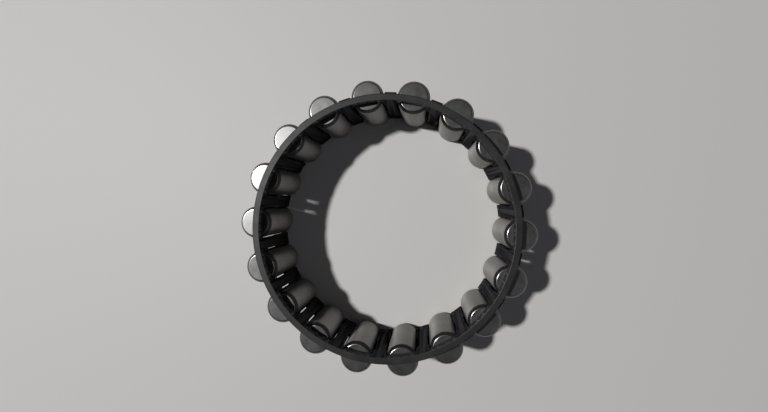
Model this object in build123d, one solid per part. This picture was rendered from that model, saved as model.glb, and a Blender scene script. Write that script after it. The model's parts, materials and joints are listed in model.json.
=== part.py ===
from build123d import *
import math
import os

os.makedirs("parts", exist_ok=True)

# Roller one-way clutch insert, in millimetres: a comb-shaped cage with a closed rim at the top
# and crossbars that hang from it, and one loose cylindrical roller in each pocket between them.
# The ring stands on z = 0, its axis is Z, and the first pocket is centred on +X.

# Rollers
roller_count = 18
roller_diameter = 12.0
roller_length = 28.0
pitch_radius = 49.0            # circle through the roller axes
roller_chamfer = 0.9           # 45 degrees, between an end face and the side

# Cage: radial sizes
crossbar_inset = 2.9           # from the pitch circle in to the crossbars' inner faces
crossbar_depth = 3.9
rim_wall = 2.4

# Cage: heights
rim_height = 3.6
foot_land_height = 4.0         # thicker band at the lower end of each crossbar
shoulder_drop = 0.5            # the crossbars keep their full depth up to this far below the rim

# Cage: small forms
foot_land_step = 0.3           # how far that band stands in from the crossbar's inner face
foot_edge_chamfer = 0.4
shoulder_fillet = 0.5          # hollow corner between a crossbar's shoulder and the rim
shoulder_edge_chamfer = 0.3
rim_outer_chamfer = 0.7
rim_inner_chamfer = 0.3
pocket_corner_radius = 0.7
lip_depth = 0.9                # radial depth of the lips that keep the rollers from falling inwards
lip_reach = 0.3                # how far a lip stands out of the crossbar's flank at the inner face
window_height = 10.5           # the lips are broken at middle height
window_centre_height = 15.0

# Clearances
pocket_play = 0.9              # across the pocket, both sides of the roller together
roller_end_clearance = 0.4     # between a roller's upper end and the rim above it

# What follows from those sizes
roller_radius = roller_diameter / 2
pocket_pitch = 360 / roller_count
pocket_height = roller_length + roller_end_clearance
cage_height = pocket_height + rim_height
shoulder_height = pocket_height - shoulder_drop
cage_inner_radius = pitch_radius - crossbar_inset
crossbar_outer_radius = cage_inner_radius + crossbar_depth
rim_outer_radius = cage_inner_radius + rim_wall
pocket_half_angle = math.degrees(math.asin((roller_radius + pocket_play / 2) / pitch_radius))
inner_half_width = cage_inner_radius * math.tan(math.radians(pocket_half_angle))
lip_half_angle = math.degrees(math.atan((inner_half_width - lip_reach) / cage_inner_radius))
lip_back_radius = cage_inner_radius + lip_depth
window_bottom = window_centre_height - window_height / 2


def cage_section():
    """Radial section through a crossbar and the rim, drawn in the XZ plane."""
    foot_radius = cage_inner_radius - foot_land_step
    foot = Polyline(
        (cage_inner_radius, foot_land_height + foot_land_step),
        (foot_radius, foot_land_height),
        (foot_radius, foot_edge_chamfer),
        (foot_radius + foot_edge_chamfer, 0),
        (crossbar_outer_radius - foot_edge_chamfer, 0),
        (crossbar_outer_radius, foot_edge_chamfer),
        (crossbar_outer_radius, shoulder_height - shoulder_edge_chamfer),
        (crossbar_outer_radius - shoulder_edge_chamfer, shoulder_height),
        (rim_outer_radius + shoulder_fillet, shoulder_height),
    )
    hollow_corner = RadiusArc(
        (rim_outer_radius + shoulder_fillet, shoulder_height),
        (rim_outer_radius, shoulder_height + shoulder_fillet),
        shoulder_fillet,
    )
    rim = Polyline(
        (rim_outer_radius, shoulder_height + shoulder_fillet),
        (rim_outer_radius, cage_height - rim_outer_chamfer),
        (rim_outer_radius - rim_outer_chamfer, cage_height),
        (cage_inner_radius + rim_inner_chamfer, cage_height),
        (cage_inner_radius, cage_height - rim_inner_chamfer),
        (cage_inner_radius, foot_land_height + foot_land_step),
    )
    return Plane.XZ * make_face(foot + hollow_corner + rim)


def wedge(half_angle, bottom, height):
    """Wedge between two radial planes, pointed at the axis."""
    reach = 2 * crossbar_outer_radius
    half_width = reach * math.tan(math.radians(half_angle))
    outline = Polyline((0, 0), (reach, -half_width), (reach, half_width), close=True)
    return Pos(0, 0, bottom) * extrude(make_face(outline), height)


def open_pocket(half_angle):
    """Pocket that is open downwards, with rounded upper corners."""
    space = wedge(half_angle, -roller_length, roller_length + pocket_height)
    upper_edges = space.edges().group_by(Axis.Z)[-1]
    wall_edges = upper_edges.sort_by(Axis.X)[:2]
    return fillet(wall_edges, pocket_corner_radius)


def pocket_cutter():
    """Pocket with a lip along each inner edge, and the window that breaks both lips."""
    lip_zone = Cylinder(lip_back_radius, 4 * cage_height)
    behind_lips = open_pocket(pocket_half_angle) - lip_zone
    between_lips = open_pocket(lip_half_angle)
    window = wedge(pocket_half_angle, window_bottom, window_height)
    return behind_lips + between_lips + window


def build_cage():
    blank = revolve(cage_section(), Axis.Z)
    cutter = pocket_cutter()
    pockets = [Rot(0, 0, number * pocket_pitch) * cutter for number in range(roller_count)]
    return blank - pockets


def build_roller():
    """Roller standing on z = 0 about the Z axis, with chamfered ends."""
    face_radius = roller_radius - roller_chamfer
    outline = Polyline(
        (0, 0),
        (face_radius, 0),
        (roller_radius, roller_chamfer),
        (roller_radius, roller_length - roller_chamfer),
        (face_radius, roller_length),
        (0, roller_length),
        close=True,
    )
    return revolve(Plane.XZ * make_face(outline), Axis.Z)


def build_parts():
    parts = {"cage": build_cage()}
    roller = build_roller()
    for number in range(roller_count):
        around = Rot(0, 0, number * pocket_pitch)
        parts[f"roller_{number + 1:02d}"] = around * Pos(pitch_radius, 0, 0) * roller
    return parts


for name, shape in build_parts().items():
    shape.label = name
    export_step(shape, f"parts/{name}.step")
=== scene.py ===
import bpy
import bmesh
import json
import math
from mathutils import Matrix, Vector


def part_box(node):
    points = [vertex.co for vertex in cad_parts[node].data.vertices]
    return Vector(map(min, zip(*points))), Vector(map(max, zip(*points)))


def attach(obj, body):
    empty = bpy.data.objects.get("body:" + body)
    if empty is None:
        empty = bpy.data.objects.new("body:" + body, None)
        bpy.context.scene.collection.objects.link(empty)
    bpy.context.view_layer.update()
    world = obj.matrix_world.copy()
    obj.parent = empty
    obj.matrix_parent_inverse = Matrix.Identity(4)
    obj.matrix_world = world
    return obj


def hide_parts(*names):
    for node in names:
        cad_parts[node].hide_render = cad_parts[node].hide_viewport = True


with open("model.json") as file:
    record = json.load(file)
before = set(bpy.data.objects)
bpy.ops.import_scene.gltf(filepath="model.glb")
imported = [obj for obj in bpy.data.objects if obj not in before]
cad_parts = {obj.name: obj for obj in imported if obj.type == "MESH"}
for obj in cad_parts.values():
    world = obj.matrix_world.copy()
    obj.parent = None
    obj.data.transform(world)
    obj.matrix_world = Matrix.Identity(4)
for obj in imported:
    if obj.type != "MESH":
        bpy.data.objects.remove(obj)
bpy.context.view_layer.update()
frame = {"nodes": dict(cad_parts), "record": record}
print("frame loaded:", len(frame["nodes"]), "nodes")

mm = 0.001

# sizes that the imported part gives
mountSizes = {mount["name"]: mount["dims"] for mount in frame["record"]["mounts"]}
innerRace = mountSizes["inner_race_seat"]["r_mm"] * mm
outerRace = mountSizes["outer_race_seat"]["r_mm"] * mm
rollerLength = mountSizes["inner_race_seat"]["length_mm"] * mm
rollerRadius = (outerRace - innerRace) / 2
pitchRadius = (outerRace + innerRace) / 2
cageLow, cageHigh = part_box("cage")
rollerNames = sorted(name for name in frame["nodes"] if name.startswith("roller_"))
rollerPitch = 2 * math.pi / len(rollerNames)


# mesh helpers

sectionSteps = 5             # parts of each rounded corner of a turned section
pocketSteps = 6              # and of a pocket's upper corners


def blendCorner(before, corner, after, radius, steps):
    # points of an arc that rounds one corner of a section
    corner = Vector(corner)
    toBefore = (Vector(before) - corner).normalized()
    toAfter = (Vector(after) - corner).normalized()
    halfAngle = toBefore.angle(toAfter) / 2
    reach = radius / math.tan(halfAngle)
    centre = corner + (toBefore + toAfter).normalized() * radius / math.sin(halfAngle)
    start = corner + toBefore * reach - centre
    end = corner + toAfter * reach - centre
    swing = start.angle_signed(end)
    points = []
    for step in range(steps + 1):
        turned = start.copy()
        turned.rotate(Matrix.Rotation(-swing * step / steps, 2))
        points.append(tuple(centre + turned))
    return points


def roundedSection(corners, closed):
    # corners are (r, z, radius); a radius of 0 keeps the corner sharp
    points = []
    count = len(corners)
    for index, (r, z, radius) in enumerate(corners):
        atEnd = not closed and index in (0, count - 1)
        if radius == 0 or atEnd:
            points.append((r, z))
            continue
        before = corners[index - 1][:2]
        after = corners[(index + 1) % count][:2]
        points += blendCorner(before, (r, z), after, radius, sectionSteps)
    return points


def spinSection(points, segments, closed):
    # turns (r, z) points about Z; open sections start and end on the axis
    mesh = bmesh.new()
    rings = []
    for r, z in points:
        if r < 1e-9:
            rings.append([mesh.verts.new((0, 0, z))])
            continue
        angles = [2 * math.pi * step / segments for step in range(segments)]
        rings.append([mesh.verts.new((r * math.cos(a), r * math.sin(a), z)) for a in angles])
    pairs = list(zip(rings, rings[1:]))
    if closed:
        pairs.append((rings[-1], rings[0]))
    for lower, upper in pairs:
        for step in range(segments):
            ahead = (step + 1) % segments
            if len(lower) == 1:
                mesh.faces.new((lower[0], upper[ahead], upper[step]))
            elif len(upper) == 1:
                mesh.faces.new((lower[step], lower[ahead], upper[0]))
            else:
                mesh.faces.new((lower[step], lower[ahead], upper[ahead], upper[step]))
    bmesh.ops.recalc_face_normals(mesh, faces=mesh.faces)
    return mesh


def newObject(name, mesh):
    data = bpy.data.meshes.new(name)
    mesh.to_mesh(data)
    mesh.free()
    piece = bpy.data.objects.new(name, data)
    bpy.context.scene.collection.objects.link(piece)
    return piece


def applyModifiers(piece):
    graph = bpy.context.evaluated_depsgraph_get()
    shaped = bpy.data.meshes.new_from_object(piece.evaluated_get(graph))
    piece.modifiers.clear()
    piece.data = shaped


# material helpers

noiseRange = (0.3, 0.7)      # nearly all of a noise lies between these


def newMaterial(name, colour, metallic, roughness):
    material = bpy.data.materials.new(name)
    material.use_nodes = True
    shader = material.node_tree.nodes["Principled BSDF"]
    shader.inputs["Base Color"].default_value = (*colour, 1)
    shader.inputs["Metallic"].default_value = metallic
    shader.inputs["Roughness"].default_value = roughness
    return material, material.node_tree, shader


def stretchedNoise(tree, stretch, scale, detail, ownTurn=False):
    # noise drawn out along the axes with the smaller stretch
    place = tree.nodes.new("ShaderNodeTexCoord")
    shape = tree.nodes.new("ShaderNodeMapping")
    shape.inputs["Scale"].default_value = stretch
    if ownTurn:              # no two rollers show the same marks
        own = tree.nodes.new("ShaderNodeObjectInfo")
        turn = tree.nodes.new("ShaderNodeCombineXYZ")
        tree.links.new(calculate(tree, "MULTIPLY", own.outputs["Random"], 2 * math.pi), turn.inputs["Z"])
        tree.links.new(turn.outputs["Vector"], shape.inputs["Rotation"])
        tree.links.new(own.outputs["Random"], shape.inputs["Location"])
    noise = tree.nodes.new("ShaderNodeTexNoise")
    noise.inputs["Scale"].default_value = scale
    noise.inputs["Detail"].default_value = detail
    tree.links.new(place.outputs["Object"], shape.inputs["Vector"])
    tree.links.new(shape.outputs["Vector"], noise.inputs["Vector"])
    return noise.outputs["Fac"]


def remap(tree, value, low, high, newLow, newHigh):
    node = tree.nodes.new("ShaderNodeMapRange")
    node.inputs["From Min"].default_value = low
    node.inputs["From Max"].default_value = high
    node.inputs["To Min"].default_value = newLow
    node.inputs["To Max"].default_value = newHigh
    tree.links.new(value, node.inputs["Value"])
    return node.outputs["Result"]


def calculate(tree, operation, first, second):
    node = tree.nodes.new("ShaderNodeMath")
    node.operation = operation
    for socket, value in zip(node.inputs, (first, second)):
        if isinstance(value, (int, float)):
            socket.default_value = value
        else:
            tree.links.new(value, socket)
    return node.outputs["Value"]


def colourBetween(tree, factor, first, second):
    ramp = tree.nodes.new("ShaderNodeValToRGB")
    ramp.color_ramp.elements[0].color = (*first, 1)
    ramp.color_ramp.elements[1].color = (*second, 1)
    tree.links.new(factor, ramp.inputs["Fac"])
    return ramp.outputs["Color"]


def mottle(tree, shader, fine, broad, look):
    # both noises tint the steel, the broad one also changes its gloss
    tone = calculate(tree, "ADD", calculate(tree, "MULTIPLY", fine, look["fineShare"]),
                     calculate(tree, "MULTIPLY", broad, 1 - look["fineShare"]))
    spread = remap(tree, tone, 0.5 - look["contrast"], 0.5 + look["contrast"], 0, 1)
    tree.links.new(colourBetween(tree, spread, *look["colour"]), shader.inputs["Base Color"])
    tree.links.new(remap(tree, broad, *noiseRange, *look["roughness"]), shader.inputs["Roughness"])
    addBump(tree, shader, fine, look["bump"], look["depth"])


def addBump(tree, shader, height, strength, distance):
    bump = tree.nodes.new("ShaderNodeBump")
    bump.inputs["Strength"].default_value = strength
    bump.inputs["Distance"].default_value = distance
    tree.links.new(height, bump.inputs["Height"])
    tree.links.new(bump.outputs["Normal"], shader.inputs["Normal"])


# cage

cage = {
    "innerRadius": pitchRadius - 2.9 * mm,
    "outerRadius": pitchRadius + 1.0 * mm,
    "rimRadius": pitchRadius - 0.5 * mm,
    "rimHeight": 3.6 * mm,
    "shoulderDrop": 0.5 * mm,
    "landHeight": 4.0 * mm,
    "landStep": 0.3 * mm,
    "footChamfer": 0.4 * mm,
    "rimOuterChamfer": 0.35 * mm,
    "rimInnerChamfer": 0.1 * mm,
    "shoulderChamfer": 0.3 * mm,
    "hollowRadius": 0.5 * mm,
    "pocketPlay": 0.9 * mm,
    "pocketCorner": 0.7 * mm,
    "lipDepth": 0.9 * mm,
    "lipReach": 0.5 * mm,
    "windowHeight": 10.5 * mm,
    "windowCentre": 19 * mm,
    "cutBeyond": 3 * mm,         # how far the cutters reach past the walls
    "cutBelow": 5 * mm,          # and past the open feet
    "edgeRounding": 0.12 * mm,
    "edgeSteps": 2,
    "sharpAngle": 35,
    "flatWeight": 80,
    "segments": 360,
    "lineScale": 5200,           # turning lines, and how little they change round the ring
    "lineDraw": 0.0006,
    "patchScale": 160,
    "nickScale": 420,
    "nickRange": (0.48, 0.66),
    "wornColour": (0.06, 0.058, 0.058),
    "wornMetal": 0.2,
    "wornRoughness": 0.42,
}

oxideLook = {
    "colour": ((0.009, 0.009, 0.011), (0.017, 0.0165, 0.019)),
    "roughness": (0.5, 0.62),
    "sheen": 0.1,
    "fineShare": 0.35,
    "contrast": 0.15,
    "bump": 0.25,
    "depth": 0.02 * mm,
}

# the rim is coloured paler than the bars below it: painted light on the cage's top, where the lamp falls
rimPaintedLightLook = {
    **oxideLook,
    "colour": ((0.021, 0.02, 0.021), (0.036, 0.035, 0.035)),
    "roughness": (0.4, 0.52),
    "sheen": 0.3,
}


def cageSection():
    top = cageHigh.z
    rimBottom = top - cage["rimHeight"]
    shoulder = rimBottom - cage["shoulderDrop"]
    foot = cage["innerRadius"] - cage["landStep"]
    chamfer = cage["footChamfer"]
    return [
        (cage["innerRadius"], cage["landHeight"] + cage["landStep"], 0),
        (foot, cage["landHeight"], 0),
        (foot, chamfer, 0),
        (foot + chamfer, 0, 0),
        (cage["outerRadius"] - chamfer, 0, 0),
        (cage["outerRadius"], chamfer, 0),
        (cage["outerRadius"], shoulder - cage["shoulderChamfer"], 0),
        (cage["outerRadius"] - cage["shoulderChamfer"], shoulder, 0),
        (cage["rimRadius"], shoulder, cage["hollowRadius"]),
        (cage["rimRadius"], top - cage["rimOuterChamfer"], 0),
        (cage["rimRadius"] - cage["rimOuterChamfer"], top, 0),
        (cage["innerRadius"] + cage["rimInnerChamfer"], top, 0),
        (cage["innerRadius"], top - cage["rimInnerChamfer"], 0),
    ]


def pocketOutline(radius, halfAngle, top):
    # section of one pocket at a given radius, as (sideways, z) points
    half = radius * math.tan(halfAngle)
    corner = cage["pocketCorner"]
    right = blendCorner((half, 0), (half, top), (0, top), corner, pocketSteps)
    left = blendCorner((0, top), (-half, top), (-half, 0), corner, pocketSteps)
    return [(half, -cage["cutBelow"])] + right + left + [(-half, -cage["cutBelow"])]


def windowOutline(radius, halfAngle):
    half = radius * math.tan(halfAngle)
    low = cage["windowCentre"] - cage["windowHeight"] / 2
    high = low + cage["windowHeight"]
    return [(half, low), (half, high), (-half, high), (-half, low)]


def radialCutters(name, near, far, outlineAt):
    # one closed block per pocket between two radii
    mesh = bmesh.new()
    for number in range(len(rollerNames)):
        turn = Matrix.Rotation(number * rollerPitch, 4, "Z")
        loops = []
        for radius in (near, far):
            loops.append([mesh.verts.new(turn @ Vector((radius, y, z))) for y, z in outlineAt(radius)])
        count = len(loops[0])
        for index in range(count):
            ahead = (index + 1) % count
            mesh.faces.new((loops[0][index], loops[0][ahead], loops[1][ahead], loops[1][index]))
        mesh.faces.new(loops[0])
        mesh.faces.new(loops[1])
    bmesh.ops.recalc_face_normals(mesh, faces=mesh.faces)
    return newObject(name, mesh)


def cutAway(piece, cutters):
    cut = piece.modifiers.new("pockets", "BOOLEAN")
    cut.operation = "DIFFERENCE"
    cut.solver = "EXACT"
    cut.object = cutters
    applyModifiers(piece)
    bpy.data.objects.remove(cutters)


def cutPockets(piece):
    top = cageHigh.z - cage["rimHeight"]
    inner = cage["innerRadius"]
    near, far = inner - cage["cutBeyond"], cage["outerRadius"] + cage["cutBeyond"]
    wide = math.asin((rollerRadius + cage["pocketPlay"] / 2) / pitchRadius)
    narrow = math.atan((inner * math.tan(wide) - cage["lipReach"]) / inner)
    back = inner + cage["lipDepth"]
    cuts = [
        ("betweenLips", near, lambda radius: pocketOutline(radius, narrow, top)),
        ("behindLips", back, lambda radius: pocketOutline(radius, wide, top)),
        ("lipWindows", near, lambda radius: windowOutline(radius, wide)),
    ]
    for name, start, outlineAt in cuts:
        cutAway(piece, radialCutters(name, start, far, outlineAt))


def buildCage():
    section = roundedSection(cageSection(), closed=True)
    piece = newObject("combCage", spinSection(section, cage["segments"], closed=True))
    cutPockets(piece)
    piece.data.materials.clear()
    bars, edge, rim = range(3)
    for material in (oiledBlackSteel(), wornBlackEdge(), paintedLightRim()):
        piece.data.materials.append(material)
    piece.data.shade_smooth()
    edges = piece.modifiers.new("brokenEdges", "BEVEL")
    edges.width = cage["edgeRounding"]
    edges.segments = cage["edgeSteps"]
    edges.limit_method = "ANGLE"
    edges.angle_limit = math.radians(cage["sharpAngle"])
    edges.material = edge
    flats = piece.modifiers.new("flatNormals", "WEIGHTED_NORMAL")
    flats.weight = cage["flatWeight"]
    applyModifiers(piece)
    rimBottom = cageHigh.z - cage["rimHeight"]
    # faces above the rim's bottom take the paler rim colour: painted light on the cage's top
    for polygon in piece.data.polygons:
        if polygon.material_index == bars and polygon.center.z > rimBottom:
            polygon.material_index = rim
    return piece


def ringCoordinates(tree):
    # turning runs round the ring: distance from the axis, height and angle
    place = tree.nodes.new("ShaderNodeTexCoord")
    split = tree.nodes.new("ShaderNodeSeparateXYZ")
    tree.links.new(place.outputs["Object"], split.inputs["Vector"])
    x, y, z = split.outputs
    squares = calculate(tree, "ADD", calculate(tree, "MULTIPLY", x, x), calculate(tree, "MULTIPLY", y, y))
    distance = calculate(tree, "SQRT", squares, 0)
    angle = calculate(tree, "ARCTAN2", y, x)
    return distance, z, angle


def turnedLines(tree, scale):
    distance, z, angle = ringCoordinates(tree)
    joined = tree.nodes.new("ShaderNodeCombineXYZ")
    tree.links.new(distance, joined.inputs["X"])
    tree.links.new(calculate(tree, "MULTIPLY", angle, cage["lineDraw"]), joined.inputs["Y"])
    tree.links.new(z, joined.inputs["Z"])
    noise = tree.nodes.new("ShaderNodeTexNoise")
    noise.inputs["Scale"].default_value = scale
    noise.inputs["Detail"].default_value = 3
    tree.links.new(joined.outputs["Vector"], noise.inputs["Vector"])
    return noise.outputs["Fac"]


def blackenedSteel(name, look):
    material, tree, shader = newMaterial(name, look["colour"][0], 0, look["roughness"][0])
    shader.inputs["Specular IOR Level"].default_value = look["sheen"]
    lines = turnedLines(tree, cage["lineScale"])
    patches = stretchedNoise(tree, (1, 1, 1), cage["patchScale"], 4)
    mottle(tree, shader, lines, patches, look)
    return material


def oiledBlackSteel():
    return blackenedSteel("oiledBlackSteel", oxideLook)


# paler copy of the black steel for the rim: painted light on the cage's top
def paintedLightRim():
    return blackenedSteel("paintedLightRim", rimPaintedLightLook)


def wornBlackEdge():
    worn = cage["wornColour"]
    material, tree, shader = newMaterial("wornBlackEdge", worn, cage["wornMetal"], cage["wornRoughness"])
    nicks = stretchedNoise(tree, (1, 1, 1), cage["nickScale"], 3)
    tone = remap(tree, nicks, *cage["nickRange"], 0, 1)
    steel = colourBetween(tree, tone, oxideLook["colour"][1], worn)
    tree.links.new(steel, shader.inputs["Base Color"])
    return material


# rollers

roller = {
    "chamfer": 0.9 * mm,
    "chamferDrop": 1.3 * mm,
    "faceBlend": 0.45 * mm,
    "sideBlend": 0.5 * mm,
    "blendMargin": 0.8,          # keeps the flat's last ring inside the blend
    "middleRing": 0.5,
    "faceTilt": 0.999,           # how far up a surface looks, from flat face to side
    "blendTilt": 0.8,
    "cornerTilt": 0.001,
    "segments": 128,
    "blendColour": (0.34, 0.336, 0.33),
    "blendRoughness": (0.2, 0.3),
    "blendSpecks": 1500,
    # the chamfer's dark colour is a painted dark reflection
    "chamferPaintedShadeColour": (0.15, 0.147, 0.14),
    "cornerRoughness": (0.32, 0.5),
    "cornerSpecks": 900,
}

faceLook = {
    "colour": ((0.12, 0.119, 0.118), (0.165, 0.163, 0.16)),
    "roughness": (0.33, 0.38),
    "metal": 0.85,
    "markScale": 9000,
    "stainScale": 330,
    "fineShare": 0.4,
    "contrast": 0.14,
    "bump": 0.12,
    "depth": 0.004 * mm,
}

sideLook = {
    "colour": ((0.255, 0.245, 0.228), (0.34, 0.335, 0.325)),
    "roughness": (0.39, 0.45),
    "grain": 0.85,               # glints spread up and down the roller
    "grainTurn": 0.25,
    "lappingScale": 6500,
    "filmScale": 210,
    "fineShare": 0.35,
    "contrast": 0.14,
    "bump": 0.12,
    "depth": 0.004 * mm,
}


def rollerSection():
    face = rollerRadius - roller["chamfer"]
    flat = face - roller["faceBlend"] * roller["blendMargin"]
    middle = face * roller["middleRing"]
    low, high = roller["chamferDrop"], rollerLength - roller["chamferDrop"]
    return [
        (0, 0, 0),
        (middle, 0, 0),
        (flat, 0, 0),
        (face, 0, roller["faceBlend"]),
        (rollerRadius, low, roller["sideBlend"]),
        (rollerRadius, high, roller["sideBlend"]),
        (face, rollerLength, roller["faceBlend"]),
        (flat, rollerLength, 0),
        (middle, rollerLength, 0),
        (0, rollerLength, 0),
    ]


def rollerMesh():
    section = roundedSection(rollerSection(), closed=False)
    mesh = spinSection(section, roller["segments"], closed=False)
    limits = (roller["faceTilt"], roller["blendTilt"], roller["cornerTilt"])
    for face in mesh.faces:
        face.smooth = True
        tilt = abs(face.normal.z)
        # faces between blendTilt and cornerTilt take the chamfer's painted dark reflection
        face.material_index = sum(tilt <= limit for limit in limits)
    data = bpy.data.meshes.new("rollerBody")
    mesh.to_mesh(data)
    mesh.free()
    for material in (groundFace(), polishedBlend(), paintedDarkCorner(), satinSide()):
        data.materials.append(material)
    return data


def groundFace():
    material, tree, shader = newMaterial("groundFace", faceLook["colour"][0], faceLook["metal"],
                                         faceLook["roughness"][0])
    marks = stretchedNoise(tree, (1, 0.08, 1), faceLook["markScale"], 2, ownTurn=True)
    stains = stretchedNoise(tree, (1, 1, 1), faceLook["stainScale"], 5, ownTurn=True)
    mottle(tree, shader, marks, stains, faceLook)
    return material


def speckledSteel(name, colour, roughness, scale):
    material, tree, shader = newMaterial(name, colour, 1, roughness[0])
    specks = stretchedNoise(tree, (1, 1, 1), scale, 3, ownTurn=True)
    tree.links.new(remap(tree, specks, *noiseRange, *roughness), shader.inputs["Roughness"])
    return material


def polishedBlend():
    return speckledSteel("polishedBlend", roller["blendColour"], roller["blendRoughness"],
                         roller["blendSpecks"])


def paintedDarkCorner():
    # the chamfer is coloured dark: a painted dark reflection of the dim surroundings it faces
    return speckledSteel("paintedDarkCorner", roller["chamferPaintedShadeColour"], roller["cornerRoughness"],
                         roller["cornerSpecks"])


def satinSide():
    material, tree, shader = newMaterial("satinSide", sideLook["colour"][0], 1, sideLook["roughness"][0])
    shader.inputs["Anisotropic"].default_value = sideLook["grain"]
    shader.inputs["Anisotropic Rotation"].default_value = sideLook["grainTurn"]
    lapping = stretchedNoise(tree, (0.12, 0.12, 1), sideLook["lappingScale"], 2)
    film = stretchedNoise(tree, (1, 1, 0.6), sideLook["filmScale"], 4, ownTurn=True)
    mottle(tree, shader, lapping, film, sideLook)
    return material


def rollerPlaces():
    # the joint of each roller gives its axis
    return {joint["child"]: Vector(joint["pos_m"]) for joint in frame["record"]["behaviour"]["joints"]}


def buildRollers():
    data = rollerMesh()
    places = rollerPlaces()
    pieces = []
    for number, name in enumerate(rollerNames):
        piece = bpy.data.objects.new(f"steelRoller{number + 1:02d}", data)
        bpy.context.scene.collection.objects.link(piece)
        piece.location = (places[name].x, places[name].y, 0)
        pieces.append((piece, name))
    return pieces


# bench, light and camera

bench = {"halfWidth": 1.5, "colour": (0.66, 0.645, 0.625), "roughness": 0.6}

light = {
    "keyTurn": 169,              # degrees from +X, seen from above
    "keyRise": 59.7,
    "keyDistance": 2.8,
    "keySize": 0.17,
    "keyPower": 59,
    "fillTurn": -20,
    "fillRise": 50,
    "fillSpread": 50,
    "fillStrength": 0.1,
    "fillColour": (0.92, 0.91, 1.0),
    "surroundings": (0.032, 0.0315, 0.036),
}

camera = {
    "eye": (13.21 * mm, 10.96 * mm, 177.49 * mm),
    "aim": (-3.16 * mm, 7.86 * mm, 0),
    "turn": 2.47,                # degrees from +Y to the top of the picture
    "lens": 19.24,
}


def buildBench():
    mesh = bmesh.new()
    bmesh.ops.create_grid(mesh, x_segments=1, y_segments=1, size=bench["halfWidth"])
    piece = newObject("bench", mesh)
    material, tree, shader = newMaterial("paleBench", bench["colour"], 0, bench["roughness"])
    piece.data.materials.append(material)


def directionFrom(turn, rise):
    a, e = math.radians(turn), math.radians(rise)
    return Vector((math.cos(a) * math.cos(e), math.sin(a) * math.cos(e), math.sin(e)))


def placeLamp(name, data, away, distance):
    lamp = bpy.data.objects.new(name, data)
    bpy.context.scene.collection.objects.link(lamp)
    lamp.location = away * distance
    lamp.rotation_euler = away.to_track_quat("Z", "Y").to_euler()


def buildLight():
    key = bpy.data.lights.new("keyLight", "AREA")
    key.shape = "DISK"
    key.size = light["keySize"]
    key.energy = light["keyPower"]
    placeLamp("keyLight", key, directionFrom(light["keyTurn"], light["keyRise"]), light["keyDistance"])
    fill = bpy.data.lights.new("fillLight", "SUN")
    fill.angle = math.radians(light["fillSpread"])
    fill.energy = light["fillStrength"]
    fill.color = light["fillColour"]
    placeLamp("fillLight", fill, directionFrom(light["fillTurn"], light["fillRise"]), 1)
    world = bpy.data.worlds.new("surroundings")
    world.use_nodes = True
    world.node_tree.nodes["Background"].inputs["Color"].default_value = (*light["surroundings"], 1)
    bpy.context.scene.world = world


def buildCamera():
    data = bpy.data.cameras.new("camera")
    data.lens = camera["lens"]
    data.clip_start = 0.005
    view = bpy.data.objects.new("camera", data)
    bpy.context.scene.collection.objects.link(view)
    eye, aim = Vector(camera["eye"]), Vector(camera["aim"])
    turn = math.radians(camera["turn"])
    back = (eye - aim).normalized()
    right = Vector((-math.sin(turn), math.cos(turn), 0)).cross(back).normalized()
    up = back.cross(right)
    view.rotation_mode = "QUATERNION"
    view.rotation_quaternion = Matrix((right, up, back)).transposed().to_quaternion()
    view.location = eye
    bpy.context.scene.camera = view


bpy.context.scene.view_settings.view_transform = "Standard"
buildBench()
buildLight()
buildCamera()
print("bench, light and camera placed")

cagePiece = buildCage()
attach(cagePiece, "cage")
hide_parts("cage")
print("cage built:", len(cagePiece.data.polygons), "faces")

for piece, name in buildRollers():
    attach(piece, name)
    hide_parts(name)
print("rollers built:", len(rollerNames))
